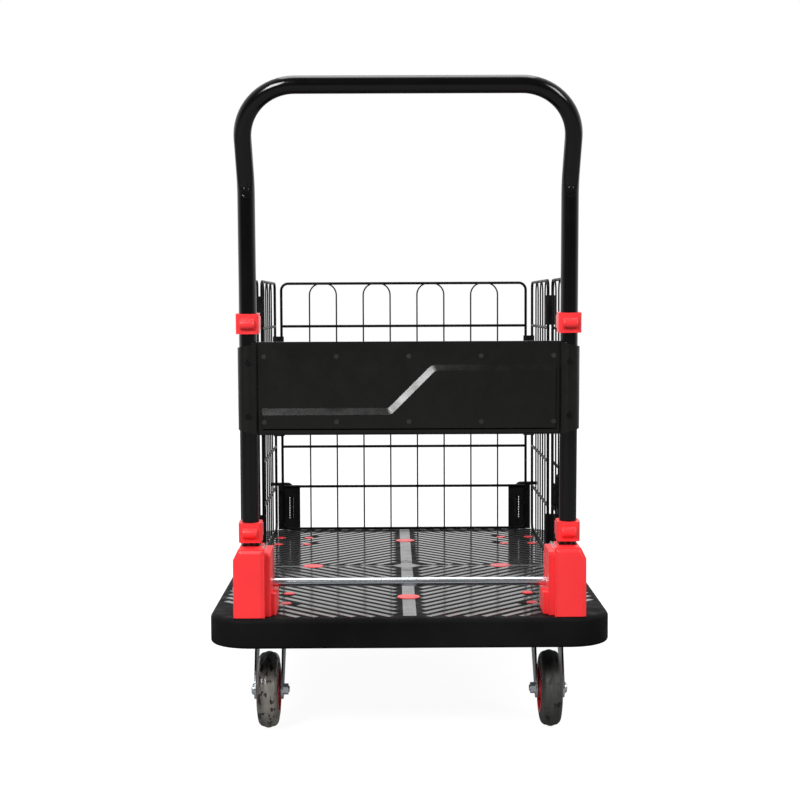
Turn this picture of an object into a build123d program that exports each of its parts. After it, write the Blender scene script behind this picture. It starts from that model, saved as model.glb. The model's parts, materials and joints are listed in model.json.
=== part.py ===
from build123d import *
import os
from math import cos, radians, sin

# Folding platform cart. Millimetres, +Z up, +X to the user's right, handle at the -Y end.
# Origin: on the floor, under the centre of the deck.

# Deck
DECK_WIDTH = 510
DECK_LENGTH = 810
DECK_TOP = 163
DECK_DEPTH = 38
DECK_CORNER = 55
DECK_SKIN = 5
DECK_WALL = 5
DECK_EDGE_ROUND = 6
DECK_BOTTOM_ROUND = 4
RIB_THICKNESS = 3
RIB_DEPTH = 22
RIB_PITCH = 100
STRIP_WIDTH = 17
CROSS_STRIP_WIDTH = 5
STRIP_THICKNESS = 1.2
STRIP_PROUD = 0.2
DISC_DIAMETER = 31
DISC_THICKNESS = 2.4
DISC_PROUD = 1.0
DISC_FRONT_BACK = 256.5
DISC_SIDE = 140.7

# Casters
WHEEL_DIAMETER = 100
TYRE_WIDTH = 28
HUB_WIDTH = 30
HUB_DIAMETER = 66
CASTER_X = 185
NEAR_CASTER_Y = -265
FAR_CASTER_Y = 255
CASTER_TRAIL = 38
PLATE_WIDTH = 66
PLATE_LENGTH = 96
PLATE_THICKNESS = 3
PLATE_TOP = 127.5
BOLT_SPACING_X = 46
BOLT_SPACING_Y = 72
BOLT_DIAMETER = 8
CAP_DIAMETER = 15
CAP_THICKNESS = 4
CAP_PROUD = 1.3
FORK_THICKNESS = 2.5
FORK_SIDE_GAP = 1.5
FORK_END_RADIUS = 13
FORK_CROWN_LENGTH = 54
RACE_RADIUS = 22
CROWN_TOP = 109
KING_PIN_DIAMETER = 10
AXLE_DIAMETER = 8

# Handle: one bent tube that leans out, with a second bend near the top
TUBE_DIAMETER = 22
TUBE_WALL = 1.5
LEG_X = 202
PIVOT_Y = -357
PIVOT_Z = 190
LEG_LEAN = 2.8
FOOT_BELOW_PIVOT = 14
BEND_HEIGHT = 516.5
GRIP_REACH = 127
GRIP_TILT = 22
GRIP_SPREAD = 3
BEND_RADIUS = 75
GRIP_CORNER_RADIUS = 66
GUARD_BOTTOM = 202
GUARD_HEIGHT = 118
GUARD_END_HEIGHT = 103
GUARD_THICKNESS = 2.5
GUARD_SETBACK = 3
SCREW_SPACING = 68
SCREW_DIAMETER = 4
CLIP_HEIGHTS = {"lower": 78, "upper": 343}
CLIP_WIDTH = 29
CLIP_HEIGHT = 25
CLIP_DEPTH = 28

# Brackets that hold the feet of the handle
BRACKET_INNER_X = 186.5
BRACKET_OUTER_X = 222
BRACKET_FRONT_Y = -399
BRACKET_BACK_Y = -318
BRACKET_HEIGHT = 87
BRACKET_FLOOR = 9
BRACKET_LAP = 12
BRACKET_BACK_SLOPE = 22
BRACKET_PLATE = 3
COVER_THICKNESS = 8
COVER_STEP = 6
LEG_SIDE_GAP = 0.6
PIVOT_BOLT_DIAMETER = 8
BAR_DIAMETER = 11
BAR_Y = -338
BAR_Z = 198
BAR_TRAVEL = 20

# Mesh fence
ROD_DIAMETER = 4.5
WIRE_DIAMETER = 2.5
ROD_CORNER_RADIUS = 12
ARCH_RADIUS = 20
PANEL_Y = 384
PANEL_HALF_WIDTH = 211.3
PANEL_LOW = 166.2
PANEL_HIGH = 592
CROSS_ROD_FIRST = 240
CROSS_ROD_PITCH = 69.6
CROSS_ROD_COUNT = 5
PANEL_WIRE_PITCH = 46.4
PANEL_ARCHES = 4
LEAF_ARCHES = 3
FAR_LEAF_X = 222.5
NEAR_LEAF_X = 229.5
LEAF_HINGE_Y = 103
HINGE_WALL = 1.75
CORNER_HINGE_LOWS = (328, 455)
MIDDLE_HINGE_LOWS = (181, 523)
HINGE_LENGTH = 46

# Spring bolts at the far corners and on the near leaves
DROP_BOLT_DIAMETER = 6
DROP_BOLT_X = 196.5
LATCH_SPAN_X = (181.5, 219.5)
LATCH_THICKNESS = 2
EAR_THICKNESS = 3
LATCH_EAR_HEIGHTS = (176, 226)
DROP_BOLT_TIP = 150
DROP_BOLT_HANDLE_Z = 243
DROP_BOLT_HANDLE_REACH = 35.5
MIDDLE_BOLT_Y = 84
MIDDLE_BOLT_TIP = 163.5
MIDDLE_BOLT_TOP = 290
MIDDLE_EAR_HEIGHTS = (239, 266)
MIDDLE_BOLT_REACH = 26

# Clearances
RUNNING = 0.05
SNUG = 0.02
LOOSE = 0.3

WHEEL_RADIUS = WHEEL_DIAMETER / 2
TUBE_RADIUS = TUBE_DIAMETER / 2
ROD_RADIUS = ROD_DIAMETER / 2
AXLE_RADIUS = AXLE_DIAMETER / 2
BOLT_RADIUS = BOLT_DIAMETER / 2
CAP_RADIUS = CAP_DIAMETER / 2
DROP_BOLT_RADIUS = DROP_BOLT_DIAMETER / 2
FORK_INNER = HUB_WIDTH / 2 + FORK_SIDE_GAP
FORK_OUTER = FORK_INNER + FORK_THICKNESS
PLATE_BOTTOM = PLATE_TOP - PLATE_THICKNESS
LATCH_FRONT_Y = PANEL_Y + ROD_RADIUS + SNUG
DROP_BOLT_Y = LATCH_FRONT_Y + LATCH_THICKNESS + 5
GUIDE_FRONT_X = NEAR_LEAF_X + ROD_RADIUS + SNUG
GUIDE_THICKNESS = 1.5
MIDDLE_BOLT_X = GUIDE_FRONT_X + GUIDE_THICKNESS + DROP_BOLT_RADIUS + 0.2
SIDES = {"left": -1, "right": 1}


def block(x, y, z):
    """A box between two values on each axis."""
    size = (x[1] - x[0], y[1] - y[0], z[1] - z[0])
    centre = ((x[0] + x[1]) / 2, (y[0] + y[1]) / 2, (z[0] + z[1]) / 2)
    return Pos(*centre) * Box(*size)


def bar(start, end, radius):
    """A round bar from one point to another."""
    start, end = Vector(*start), Vector(*end)
    run = end - start
    return Part() + Solid.make_cylinder(radius, run.length, Plane(origin=start, z_dir=run))


def hexagon(start, end, across_flats):
    """A hexagonal prism from one point to another."""
    start, end = Vector(*start), Vector(*end)
    run = end - start
    outline = Plane(origin=start, z_dir=run) * RegularPolygon(across_flats / 2, 6, major_radius=False)
    return extrude(outline, run.length, dir=run.normalized())


def bent_bar(points, radii, radius, bore=0):
    """A round bar or tube along straight runs joined by arcs."""
    path = FilletPolyline(*points, radius=radii)
    section = Circle(radius)
    if bore:
        section -= Circle(bore)
    return sweep(Plane(origin=path @ 0, z_dir=path % 0) * section, path=path)


def coil(x, y, low, high, radius, wire, turns):
    """A coil spring that stands on its end."""
    height = high - low - wire
    path = Helix(pitch=height / turns, height=height, radius=radius)
    section = Plane(origin=path @ 0, z_dir=path % 0) * Circle(wire / 2)
    return Pos(x, y, low + wire / 2) * sweep(section, path=path, is_frenet=True)


def save(node, *solids):
    export_step(Compound(children=list(solids)), f"parts/{node}.step")


def save_pair(node, make):
    """Saves what make() gives for the right side, and its mirror image for the left."""
    solids = make()
    if not isinstance(solids, (list, tuple)):
        solids = [solids]
    save(node + "_right", *solids)
    save(node + "_left", *[mirror(solid, about=Plane.YZ) for solid in solids])


def both_sides(*solids):
    return list(solids) + [mirror(solid, about=Plane.YZ) for solid in solids]


# Deck

def caster_centres():
    return [(side * CASTER_X, y) for side in SIDES.values() for y in (NEAR_CASTER_Y, FAR_CASTER_Y)]


def bolt_centres(x, y):
    return [
        (x + i * BOLT_SPACING_X / 2, y + j * BOLT_SPACING_Y / 2)
        for i in (-1, 1)
        for j in (-1, 1)
    ]


def all_bolt_centres():
    return [point for centre in caster_centres() for point in bolt_centres(*centre)]


def disc_centres():
    return [(0, -DISC_FRONT_BACK), (0, DISC_FRONT_BACK), (-DISC_SIDE, 0), (DISC_SIDE, 0)]


def rib_places(length):
    count = int(length / 2 / RIB_PITCH)
    return [RIB_PITCH * step for step in range(-count, count + 1)]


def deck_ribs():
    """Stiffening ribs under the skin, in both directions."""
    low, high = DECK_TOP - DECK_SKIN - RIB_DEPTH, DECK_TOP - DECK_SKIN
    half_x, half_y = DECK_WIDTH / 2 - DECK_WALL, DECK_LENGTH / 2 - DECK_WALL
    t = RIB_THICKNESS / 2
    ribs = [block((x - t, x + t), (-half_y, half_y), (low, high)) for x in rib_places(2 * half_x)]
    ribs += [block((-half_x, half_x), (y - t, y + t), (low, high)) for y in rib_places(2 * half_y)]
    return ribs


def deck():
    bottom = DECK_TOP - DECK_DEPTH
    outline = RectangleRounded(DECK_WIDTH, DECK_LENGTH, DECK_CORNER)
    body = Pos(0, 0, bottom) * extrude(outline, DECK_DEPTH)
    top_edges = body.faces().sort_by(Axis.Z)[-1].edges()
    body = fillet(top_edges, DECK_EDGE_ROUND)
    bottom_edges = body.faces().sort_by(Axis.Z)[0].edges()
    body = fillet(bottom_edges, DECK_BOTTOM_ROUND)
    cavity_outline = RectangleRounded(
        DECK_WIDTH - 2 * DECK_WALL, DECK_LENGTH - 2 * DECK_WALL, DECK_CORNER - DECK_WALL
    )
    cavity = Pos(0, 0, bottom) * extrude(cavity_outline, DECK_DEPTH - DECK_SKIN)
    fillings = [cavity & rib for rib in deck_ribs()]
    pad_x, pad_y = PLATE_WIDTH / 2 + 4, PLATE_LENGTH / 2 + 4
    for x, y in caster_centres():
        pad = ((x - pad_x, x + pad_x), (y - pad_y, y + pad_y), (PLATE_TOP, DECK_TOP - DECK_SKIN))
        fillings.append(block(*pad))
    body = body - cavity + fillings
    cuts = [strip_recess()]
    for x, y in disc_centres():
        cuts.append(bar((x, y, DECK_TOP - DISC_THICKNESS + DISC_PROUD), (x, y, DECK_TOP + 1), disc_recess()))
    head_seat = DECK_TOP - CAP_THICKNESS + CAP_PROUD - 6
    for x, y in all_bolt_centres():
        cuts.append(bar((x, y, head_seat), (x, y, DECK_TOP + 1), CAP_RADIUS + LOOSE))
        cuts.append(bar((x, y, bottom), (x, y, DECK_TOP), BOLT_RADIUS + LOOSE))
    for side in SIDES.values():
        for x, y in ((DROP_BOLT_X, DROP_BOLT_Y), (MIDDLE_BOLT_X, MIDDLE_BOLT_Y)):
            cuts.append(bar((side * x, y, bottom), (side * x, y, DECK_TOP + 1), DROP_BOLT_RADIUS + LOOSE))
    return body - cuts


def disc_recess():
    return DISC_DIAMETER / 2 + SNUG


def strip_cross(low, high, shrink=0.0):
    half_w, half_c = STRIP_WIDTH / 2 - shrink, CROSS_STRIP_WIDTH / 2 - shrink
    end_y = DECK_LENGTH / 2 - 18 - shrink
    end_x = DECK_WIDTH / 2 - 40 - shrink
    along = block((-half_w, half_w), (-end_y, end_y), (low, high))
    across = block((-end_x, end_x), (-half_c, half_c), (low, high))
    return along + across


def strip_recess():
    return strip_cross(DECK_TOP - STRIP_THICKNESS + STRIP_PROUD, DECK_TOP + 1)


def deck_strips():
    """The pale inlay: one strip along the deck and a thin one across it, cut away round the discs."""
    low = DECK_TOP - STRIP_THICKNESS + STRIP_PROUD
    inlay = strip_cross(low, DECK_TOP + STRIP_PROUD, SNUG)
    holes = [bar((x, y, low - 1), (x, y, DECK_TOP + 2), disc_recess()) for x, y in disc_centres()]
    return (inlay - holes).solids()


def grip_discs():
    low = DECK_TOP - DISC_THICKNESS + DISC_PROUD
    discs = [bar((x, y, low), (x, y, low + DISC_THICKNESS), DISC_DIAMETER / 2) for x, y in disc_centres()]
    return [chamfer(disc.edges().sort_by(Axis.Z)[-1], 0.6) for disc in discs]


def bolt_caps():
    top = DECK_TOP + CAP_PROUD
    caps = [bar((x, y, top - CAP_THICKNESS), (x, y, top), CAP_RADIUS) for x, y in all_bolt_centres()]
    return [chamfer(cap.edges().sort_by(Axis.Z)[-1], 0.8) for cap in caps]


def deck_bolts():
    """A hexagon bolt and its nut in each hole of the four caster plates."""
    head_low = DECK_TOP - CAP_THICKNESS + CAP_PROUD - 6
    nut_low = PLATE_BOTTOM - 6.5
    pieces = []
    for x, y in all_bolt_centres():
        shank = bar((x, y, nut_low - 1.5), (x, y, head_low + 1), BOLT_RADIUS)
        pieces.append(shank + hexagon((x, y, head_low), (x, y, head_low + 5.4), 13))
        nut = hexagon((x, y, nut_low), (x, y, PLATE_BOTTOM), 13)
        pieces.append(nut - bar((x, y, nut_low - 1), (x, y, PLATE_BOTTOM + 1), BOLT_RADIUS + SNUG))
    return pieces


# Casters

def plate_with_holes(y):
    x0, x1 = CASTER_X - PLATE_WIDTH / 2, CASTER_X + PLATE_WIDTH / 2
    plate = block((x0, x1), (y - PLATE_LENGTH / 2, y + PLATE_LENGTH / 2), (PLATE_BOTTOM, PLATE_TOP))
    plate = fillet(plate.edges().filter_by(Axis.Z), 8)
    holes = [
        bar((bx, by, PLATE_BOTTOM - 1), (bx, by, PLATE_TOP + 1), BOLT_RADIUS + LOOSE)
        for bx, by in bolt_centres(CASTER_X, y)
    ]
    return plate - holes


def swivel_plate():
    race_low = PLATE_BOTTOM - 3
    centre = (CASTER_X, NEAR_CASTER_Y)
    plate = plate_with_holes(NEAR_CASTER_Y)
    plate += bar((*centre, race_low), (*centre, PLATE_BOTTOM + 0.5), RACE_RADIUS - 2)
    return plate - bar((*centre, race_low - 1), (*centre, PLATE_TOP + 1), KING_PIN_DIAMETER / 2 + SNUG)


def king_pin():
    centre = (CASTER_X, NEAR_CASTER_Y)
    crown_low = CROWN_TOP - PLATE_THICKNESS
    head_top = crown_low - LOOSE
    pin = bar((*centre, head_top), (*centre, PLATE_TOP), KING_PIN_DIAMETER / 2)
    return pin + bar((*centre, head_top - 3), (*centre, head_top), KING_PIN_DIAMETER)


def fork_leg(axle_y, crown_y, top):
    """One side plate of a fork: the convex outline round its axle end and its crown edge."""
    half = FORK_CROWN_LENGTH / 2
    plane = Plane(origin=(0, 0, 0), x_dir=(0, 1, 0), z_dir=(1, 0, 0))
    circle = Pos(axle_y, WHEEL_RADIUS) * CenterArc((0, 0), FORK_END_RADIUS, 0, 360)
    edge = Line((crown_y - half, top), (crown_y + half, top))
    drop = Line((crown_y - half, top - 8), (crown_y + half, top - 8))
    outline = plane * make_hull([circle, edge, drop])
    return extrude(outline, FORK_THICKNESS, dir=(1, 0, 0))


def fork_legs(axle_y, crown_y, top):
    leg = fork_leg(axle_y, crown_y, top)
    legs = (Pos(CASTER_X + FORK_INNER, 0, 0) * leg) + (Pos(CASTER_X - FORK_OUTER, 0, 0) * leg)
    return legs - bar((0, axle_y, WHEEL_RADIUS), (2 * CASTER_X, axle_y, WHEEL_RADIUS), AXLE_RADIUS + SNUG)


def swivel_fork():
    crown_low = CROWN_TOP - PLATE_THICKNESS
    half = FORK_CROWN_LENGTH / 2
    centre = (CASTER_X, NEAR_CASTER_Y)
    crown = block(
        (CASTER_X - FORK_OUTER, CASTER_X + FORK_OUTER),
        (NEAR_CASTER_Y - half, NEAR_CASTER_Y + half),
        (crown_low, CROWN_TOP),
    )
    race = bar((*centre, CROWN_TOP - 1), (*centre, PLATE_BOTTOM - 3.5), RACE_RADIUS)
    race = chamfer(race.edges().sort_by(Axis.Z)[-1], 3)
    fork = crown + race + fork_legs(NEAR_CASTER_Y - CASTER_TRAIL, NEAR_CASTER_Y, CROWN_TOP)
    return fork - bar((*centre, 0), (*centre, PLATE_TOP), KING_PIN_DIAMETER / 2 + RUNNING)


def rigid_fork():
    return plate_with_holes(FAR_CASTER_Y) + fork_legs(FAR_CASTER_Y, FAR_CASTER_Y, PLATE_BOTTOM + 0.5)


def axle(y):
    """A dome-headed bolt with its nut on the inboard side."""
    inner, outer = CASTER_X - FORK_OUTER, CASTER_X + FORK_OUTER
    z = WHEEL_RADIUS
    head = bar((outer, y, z), (outer + 4, y, z), 7.5)
    head = fillet(head.edges().sort_by(Axis.X)[-1], 3.4)
    bolt = bar((inner - 8, y, z), (outer + 1, y, z), AXLE_RADIUS) + head
    nut = hexagon((inner - 6.5, y, z), (inner, y, z), 13)
    nut -= bar((inner - 9, y, z), (inner + 1, y, z), AXLE_RADIUS + SNUG)
    return [bolt, nut]


def tyre(y):
    z, half = WHEEL_RADIUS, TYRE_WIDTH / 2
    ring = bar((CASTER_X - half, y, z), (CASTER_X + half, y, z), WHEEL_RADIUS)
    ring = fillet(ring.edges().filter_by(GeomType.CIRCLE), 6)
    return ring - bar((CASTER_X - 50, y, z), (CASTER_X + 50, y, z), HUB_DIAMETER / 2 + SNUG)


def hub(y):
    """The wheel centre: a rim, a thinner web and a boss that turns on the axle."""
    z, half = WHEEL_RADIUS, TYRE_WIDTH / 2
    body = bar((CASTER_X - half, y, z), (CASTER_X + half, y, z), HUB_DIAMETER / 2)
    for side in (-1, 1):
        face = CASTER_X + side * half
        dish = bar((face - side * 5, y, z), (face + side, y, z), HUB_DIAMETER / 2 - 5)
        body -= dish
    body += bar((CASTER_X - HUB_WIDTH / 2, y, z), (CASTER_X + HUB_WIDTH / 2, y, z), 13)
    return body - bar((CASTER_X - 30, y, z), (CASTER_X + 30, y, z), AXLE_RADIUS + RUNNING)


# Handle, built in a plane along its leaning legs: x across, -y to the user, z up the leg

def handle_plane():
    lean = radians(LEG_LEAN)
    return Plane(origin=(0, PIVOT_Y, PIVOT_Z), x_dir=(1, 0, 0), z_dir=(0, -sin(lean), cos(lean)))


def handle_tube():
    tilt = radians(GRIP_TILT)
    grip = (-GRIP_REACH * sin(tilt), BEND_HEIGHT + GRIP_REACH * cos(tilt))
    points = [
        (-LEG_X, 0, -FOOT_BELOW_PIVOT),
        (-LEG_X, 0, BEND_HEIGHT),
        (-LEG_X - GRIP_SPREAD, *grip),
        (LEG_X + GRIP_SPREAD, *grip),
        (LEG_X, 0, BEND_HEIGHT),
        (LEG_X, 0, -FOOT_BELOW_PIVOT),
    ]
    radii = [BEND_RADIUS, GRIP_CORNER_RADIUS, GRIP_CORNER_RADIUS, BEND_RADIUS]
    tube = bent_bar(points, radii, TUBE_RADIUS, TUBE_RADIUS - TUBE_WALL)
    holes = [bar((-LEG_X - 30, 0, 0), (LEG_X + 30, 0, 0), PIVOT_BOLT_DIAMETER / 2 + RUNNING)]
    for x, z in screw_places():
        holes.append(bar((x, -TUBE_RADIUS - 1, z), (x, 0, z), SCREW_DIAMETER / 2 + SNUG))
    return handle_plane() * (tube - holes)


def screw_places():
    middle = GUARD_BOTTOM + GUARD_HEIGHT / 2
    return [(i * LEG_X, middle + j * SCREW_SPACING / 2) for i in (-1, 1) for j in (-1, 1)]


def guard_panel():
    """A flat plate between the legs, with a half-round channel over the front of each leg."""
    inner, outer = TUBE_RADIUS + SNUG, TUBE_RADIUS + GUARD_THICKNESS
    section = Pos(0, -GUARD_SETBACK - GUARD_THICKNESS / 2) * Rectangle(2 * LEG_X - 2 * inner - 1, GUARD_THICKNESS)
    front = Pos(0, -outer) * Rectangle(3 * LEG_X, 2 * outer)
    for side in SIDES.values():
        ring = Circle(outer) - Circle(inner)
        section += (Pos(side * LEG_X, 0) * ring) & front
    body = Pos(0, 0, GUARD_BOTTOM) * extrude(section, GUARD_HEIGHT)
    middle = GUARD_BOTTOM + GUARD_HEIGHT / 2
    shoulder = LEG_X - outer
    corners = [
        (shoulder, GUARD_HEIGHT / 2),
        (LEG_X + outer + 1, GUARD_END_HEIGHT / 2),
        (LEG_X + outer + 1, -GUARD_END_HEIGHT / 2),
        (shoulder, -GUARD_HEIGHT / 2),
    ]
    corners += [(-x, z) for x, z in reversed(corners)]
    face = Plane(origin=(0, 0, middle), x_dir=(1, 0, 0), z_dir=(0, -1, 0))
    body &= extrude(face * Polygon(*corners, align=None), 60, both=True)
    for x, z in screw_places():
        body -= bar((x, -outer - 2, z), (x, 0, z), SCREW_DIAMETER / 2 + SNUG)
    return handle_plane() * body


def guard_screws():
    front = -TUBE_RADIUS - GUARD_THICKNESS
    screws = []
    for x, z in screw_places():
        shank = bar((x, front - 0.5, z), (x, front + 6, z), SCREW_DIAMETER / 2)
        head = bar((x, front - 1.9, z), (x, front - 0.3, z), SCREW_DIAMETER)
        screws.append(handle_plane() * (shank + chamfer(head.edges().sort_by(Axis.Y)[0], 0.5)))
    return screws


def leg_clip(height):
    """A collar on the right leg with a barrel boss in front and a catch behind it, inboard."""
    half_w, half_h = CLIP_WIDTH / 2, CLIP_HEIGHT / 2
    low, high = height - half_h, height + half_h
    collar = block((LEG_X - half_w, LEG_X + half_w), (-CLIP_DEPTH / 2, CLIP_DEPTH / 2), (low, high))
    collar = fillet(collar.edges().filter_by(Axis.Z), 5)
    barrel = bar((LEG_X - 9.5, -CLIP_DEPTH / 2, height), (LEG_X + 9.5, -CLIP_DEPTH / 2, height), 7)
    barrel = fillet(barrel.edges().filter_by(GeomType.CIRCLE), 2.5)
    catch_x = (LEG_X - half_w, LEG_X - half_w + 4)
    catch = block(catch_x, (CLIP_DEPTH / 2 - 6, CLIP_DEPTH / 2 + 7), (height - 8, height + 8))
    body = collar + barrel + catch
    return handle_plane() * (body - bar((LEG_X, 0, low - 20), (LEG_X, 0, high + 20), TUBE_RADIUS + SNUG))


# Brackets

def leg_slot():
    return (LEG_X - TUBE_RADIUS - LEG_SIDE_GAP, LEG_X + TUBE_RADIUS + LEG_SIDE_GAP)


def pivot_hole(radius):
    return bar((100, PIVOT_Y, PIVOT_Z), (300, PIVOT_Y, PIVOT_Z), radius)


def bracket_housing():
    """A block open behind and above the leg, with a rib that the leg leans on and a lap in front of the plate."""
    top = DECK_TOP + BRACKET_HEIGHT
    body = block((BRACKET_INNER_X, BRACKET_OUTER_X), (BRACKET_FRONT_Y, BRACKET_BACK_Y), (DECK_TOP, top))
    lap_y = (BRACKET_FRONT_Y, BRACKET_FRONT_Y + BRACKET_LAP)
    body += block((BRACKET_INNER_X - BRACKET_PLATE - 1, BRACKET_INNER_X), lap_y, (DECK_TOP, top))
    outer_top = body.edges().filter_by(Axis.Y).group_by(Axis.X)[-1].sort_by(Axis.Z)[-1]
    body = chamfer(outer_top, 14, 7)
    body = chamfer(body.edges().filter_by(Axis.X).group_by(Axis.Z)[-1].sort_by(Axis.Y)[-1], BRACKET_BACK_SLOPE)
    body = fillet(body.edges().filter_by(Axis.Z).group_by(Axis.X)[-1], 4)
    slot_front = PIVOT_Y - 19
    body -= block(leg_slot(), (slot_front, BRACKET_BACK_Y + 1), (DECK_TOP + BRACKET_FLOOR, top + 1))
    lean_back = (BRACKET_HEIGHT + DECK_TOP - PIVOT_Z) * sin(radians(LEG_LEAN))
    stop_y = PIVOT_Y - TUBE_RADIUS - lean_back - LOOSE
    body += block(leg_slot(), (slot_front - 1, stop_y), (top - 9, top))
    return body - pivot_hole(PIVOT_BOLT_DIAMETER / 2 + SNUG)


def bar_slot(x):
    half = BAR_DIAMETER / 2 + 1
    return block(x, (BAR_Y - half, BAR_Y + half), (BAR_Z - half, BAR_Z + BAR_TRAVEL + 22))


def bracket_plate():
    x = (BRACKET_INNER_X - BRACKET_PLATE, BRACKET_INNER_X)
    body = block(x, (BRACKET_FRONT_Y + BRACKET_LAP, BRACKET_BACK_Y - 3), (DECK_TOP, DECK_TOP + BRACKET_HEIGHT - 3))
    return body - bar_slot(x) - pivot_hole(PIVOT_BOLT_DIAMETER / 2 + SNUG)


def bracket_cover():
    """The inner cover, with a lower step that carries the release bar at rest."""
    outer = BRACKET_INNER_X - BRACKET_PLATE
    inner = outer - COVER_THICKNESS
    top = DECK_TOP + BRACKET_HEIGHT - 5
    body = block((inner, outer), (BRACKET_FRONT_Y + BRACKET_LAP, BRACKET_BACK_Y - 4), (DECK_TOP, top))
    body = fillet(body.edges().filter_by(Axis.X).group_by(Axis.Z)[-1], 8)
    step_y = (BAR_Y - 40, BAR_Y + 12)
    step_top = BAR_Z - BAR_DIAMETER / 2 - 2
    body += block((inner - COVER_STEP, inner), step_y, (DECK_TOP, step_top))
    return body - bar_slot((inner - COVER_STEP, outer)) - pivot_hole(PIVOT_BOLT_DIAMETER / 2 + SNUG)


def pivot_bolt():
    cover_face = BRACKET_INNER_X - BRACKET_PLATE - COVER_THICKNESS
    y, z = PIVOT_Y, PIVOT_Z
    head = bar((BRACKET_OUTER_X, y, z), (BRACKET_OUTER_X + 4, y, z), 7.5)
    head = fillet(head.edges().sort_by(Axis.X)[-1], 3.4)
    return bar((cover_face, y, z), (BRACKET_OUTER_X + 1, y, z), PIVOT_BOLT_DIAMETER / 2) + head


def release_bar():
    end = BRACKET_INNER_X - LOOSE
    return bar((-end, BAR_Y, BAR_Z), (end, BAR_Y, BAR_Z), BAR_DIAMETER / 2)


def bar_spring():
    x = BRACKET_INNER_X - BRACKET_PLATE - COVER_THICKNESS / 2
    low, high = BAR_Z + BAR_DIAMETER / 2 + LOOSE, BAR_Z + BAR_TRAVEL + 22 - LOOSE
    return coil(x, BAR_Y, low, high, 3.2, 1.2, 8)


# Mesh fence

def cross_rod_heights():
    return [CROSS_ROD_FIRST + CROSS_ROD_PITCH * step for step in range(CROSS_ROD_COUNT)]


def mesh_panel(length, wire_pitch, arches, wire_side):
    """A flat welded panel along +X from the origin: a rod frame, cross rods and inverted-U wires."""
    frame_path = FilletPolyline(
        (0, 0, PANEL_LOW), (0, 0, PANEL_HIGH), (length, 0, PANEL_HIGH), (length, 0, PANEL_LOW),
        radius=ROD_CORNER_RADIUS, close=True,
    )
    section = Plane(origin=frame_path @ 0, z_dir=frame_path % 0) * Circle(ROD_RADIUS)
    panel = sweep(section, path=frame_path)
    rods = [bar((0, 0, z), (length, 0, z), ROD_RADIUS) for z in cross_rod_heights()]
    offset = wire_side * (ROD_RADIUS + WIRE_DIAMETER / 2 - 0.4)
    first = (length - wire_pitch * (2 * arches - 1)) / 2
    wires = []
    for arch in range(arches):
        left = first + 2 * arch * wire_pitch
        right = left + wire_pitch
        points = [
            (left, offset, PANEL_LOW), (left, offset, PANEL_HIGH),
            (right, offset, PANEL_HIGH), (right, offset, PANEL_LOW),
        ]
        wires.append(bent_bar(points, ARCH_RADIUS, WIRE_DIAMETER / 2))
    return panel + rods + wires


def far_panel():
    panel = mesh_panel(2 * PANEL_HALF_WIDTH, PANEL_WIRE_PITCH, PANEL_ARCHES, -1)
    return Pos(-PANEL_HALF_WIDTH, PANEL_Y, 0) * panel


def leaf(x, far_y, wire_side):
    """A side leaf that runs from its far rod towards the handle."""
    length = PANEL_Y - LEAF_HINGE_Y
    panel = mesh_panel(length, length / (2 * LEAF_ARCHES + 1), LEAF_ARCHES, wire_side)
    return Pos(x, far_y, 0) * Rot(0, 0, -90) * panel


def hinge_straps(inner_x, outer_x, y, lows):
    """Sheet-metal straps that wrap two upright rods, the outer one with running clearance."""
    wrap = ROD_RADIUS + HINGE_WALL
    straps = []
    for low in lows:
        high = low + HINGE_LENGTH
        strap = block((inner_x, outer_x), (y - wrap, y - wrap + HINGE_WALL), (low, high))
        strap += block((inner_x, outer_x), (y + wrap - HINGE_WALL, y + wrap), (low, high))
        strap += [bar((x, y, low), (x, y, high), wrap) for x in (inner_x, outer_x)]
        strap -= bar((inner_x, y, low - 1), (inner_x, y, high + 1), ROD_RADIUS + SNUG)
        strap -= bar((outer_x, y, low - 1), (outer_x, y, high + 1), ROD_RADIUS + RUNNING)
        straps.append(strap)
    return straps


def latch_plate():
    """The plate of a far corner's bolt: a slot that shows the spring, and two ears that guide the bolt."""
    back = LATCH_FRONT_Y + LATCH_THICKNESS
    plate = block(LATCH_SPAN_X, (LATCH_FRONT_Y, back), (DECK_TOP + 1.5, CROSS_ROD_FIRST + 2))
    plate -= block((DROP_BOLT_X - 3.5, DROP_BOLT_X + 3.5), (LATCH_FRONT_Y - 1, back + 1), (184, 221))
    for low in LATCH_EAR_HEIGHTS:
        ear = block((DROP_BOLT_X - 6.5, DROP_BOLT_X + 6.5), (back - 0.5, DROP_BOLT_Y + 5), (low, low + EAR_THICKNESS))
        plate += ear
    hole_low, hole_high = LATCH_EAR_HEIGHTS[0] - 1, LATCH_EAR_HEIGHTS[1] + EAR_THICKNESS + 1
    hole_radius = DROP_BOLT_RADIUS + RUNNING
    return plate - bar((DROP_BOLT_X, DROP_BOLT_Y, hole_low), (DROP_BOLT_X, DROP_BOLT_Y, hole_high), hole_radius)


def collar_low():
    return LATCH_EAR_HEIGHTS[0] + EAR_THICKNESS + LOOSE


def drop_bolt():
    x, y = DROP_BOLT_X, DROP_BOLT_Y
    points = [(x, y, DROP_BOLT_TIP), (x, y, DROP_BOLT_HANDLE_Z), (x + DROP_BOLT_HANDLE_REACH, y, DROP_BOLT_HANDLE_Z)]
    collar = bar((x, y, collar_low()), (x, y, collar_low() + 2), DROP_BOLT_RADIUS + 2)
    return bent_bar(points, 7, DROP_BOLT_RADIUS) + collar


def drop_bolt_spring():
    low, high = collar_low() + 2 + SNUG, LATCH_EAR_HEIGHTS[1] - SNUG
    return coil(DROP_BOLT_X, DROP_BOLT_Y, low, high, 4.0, 1, 10)


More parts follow.
